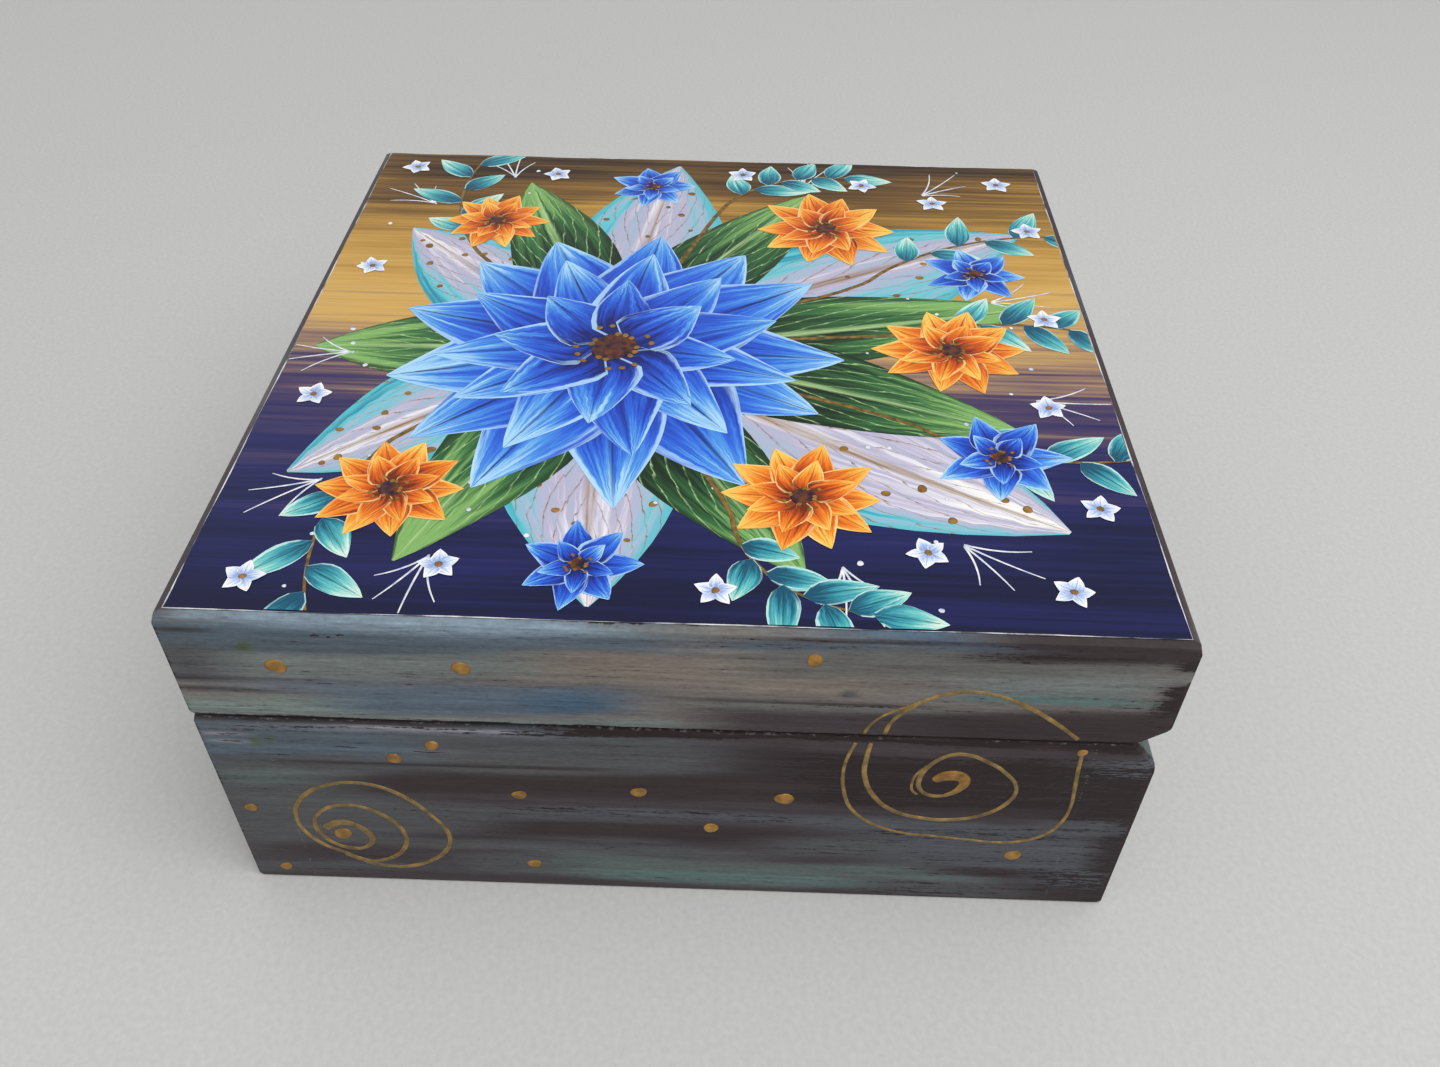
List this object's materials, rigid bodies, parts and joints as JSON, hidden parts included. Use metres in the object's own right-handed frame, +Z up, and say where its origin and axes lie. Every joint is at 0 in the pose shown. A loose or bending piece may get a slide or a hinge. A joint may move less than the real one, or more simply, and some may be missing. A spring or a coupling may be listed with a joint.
{
  "type": "decoupage box",
  "caption": "Square wooden keepsake box with a hinged lid, dry-brushed blue-grey sides with gold dots and spirals, and a varnished paper print on the lid.",
  "frame": {"origin": "centre of the underside", "axes": "+Z up, -Y to the front edge that opens, +Y to the hinges at the back, +X to the right-hand side"},
  "size_m": [0.158, 0.16, 0.072],
  "materials": {
    "painted_board": "dry-brushed acrylic paint under satin varnish",
    "plywood": "bare, sanded",
    "printed_paper": "printed paper under varnish",
    "brass": "lacquered",
    "steel": "drawn wire"
  },
  "bodies": {
    "base": {"base_front_wall": "painted_board", "base_back_wall": "painted_board", "base_left_wall": "painted_board", "base_right_wall": "painted_board", "base_bottom_panel": "plywood", "hinge_left_base_leaf": "brass", "hinge_right_base_leaf": "brass", "hinge_left_pin": "steel", "hinge_right_pin": "steel", "hinge_left_base_screw_1": "brass", "hinge_left_base_screw_2": "brass", "hinge_right_base_screw_1": "brass", "hinge_right_base_screw_2": "brass"},
    "lid": {"lid_front_wall": "painted_board", "lid_back_wall": "painted_board", "lid_left_wall": "painted_board", "lid_right_wall": "painted_board", "lid_top_panel": "plywood", "lid_print": "printed_paper", "hinge_left_lid_leaf": "brass", "hinge_right_lid_leaf": "brass", "hinge_left_lid_screw_1": "brass", "hinge_left_lid_screw_2": "brass", "hinge_right_lid_screw_1": "brass", "hinge_right_lid_screw_2": "brass"}
  },
  "joints": [
    {"name": "lid_hinge", "type": "hinge", "parent": "base", "child": "lid", "pos_m": [0, 0.0764, 0.048], "axis": [-1, 0, 0], "range_deg": [0, 105]}
  ]
}
